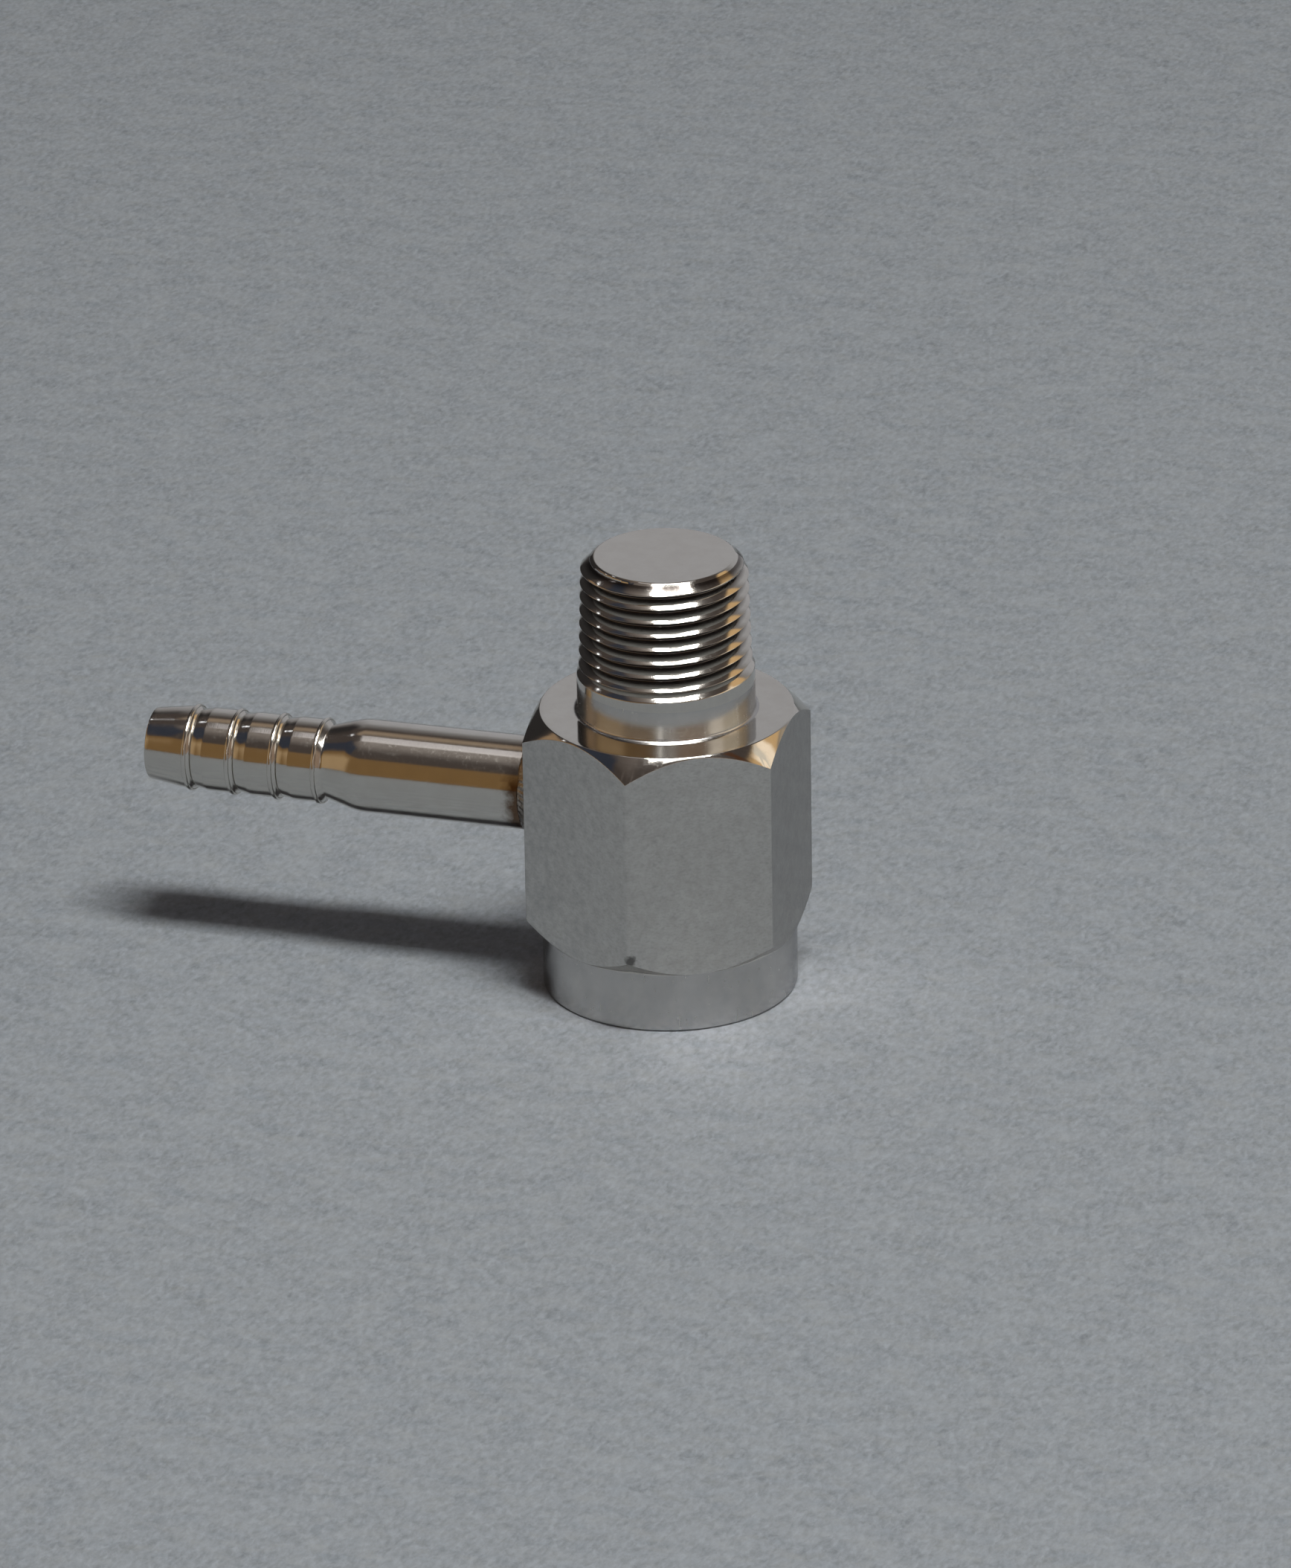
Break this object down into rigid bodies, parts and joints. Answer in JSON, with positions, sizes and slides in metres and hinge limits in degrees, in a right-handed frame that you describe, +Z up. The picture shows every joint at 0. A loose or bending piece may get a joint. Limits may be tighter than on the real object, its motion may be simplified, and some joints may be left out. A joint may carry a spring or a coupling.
{
  "type": "blind hex nipple with side hose tail",
  "caption": "Hexagonal stainless pipe nipple with a closed taper-threaded end, a round skirt over a female port, and a welded barbed hose tail on one flat.",
  "frame": {"origin": "centre of the skirt's foot, on the axis of the turned body", "axes": "+Z up along the body's axis towards the closed threaded end, -X along the hose tail, hexagon corners on +Y and -Y"},
  "size_m": [0.0835, 0.037, 0.0576],
  "materials": {
    "body_steel": "stainless, satin flats and skirt, bright threads, neck and chamfers",
    "stem_steel": "stainless, turned and polished bright",
    "weld_steel": "stainless filler, rippled and bright with a faint straw heat tint"
  },
  "bodies": {
    "root": {"hex_body": "body_steel", "hose_barb_stem": "stem_steel", "weld_bead": "weld_steel"}
  },
  "joints": []
}
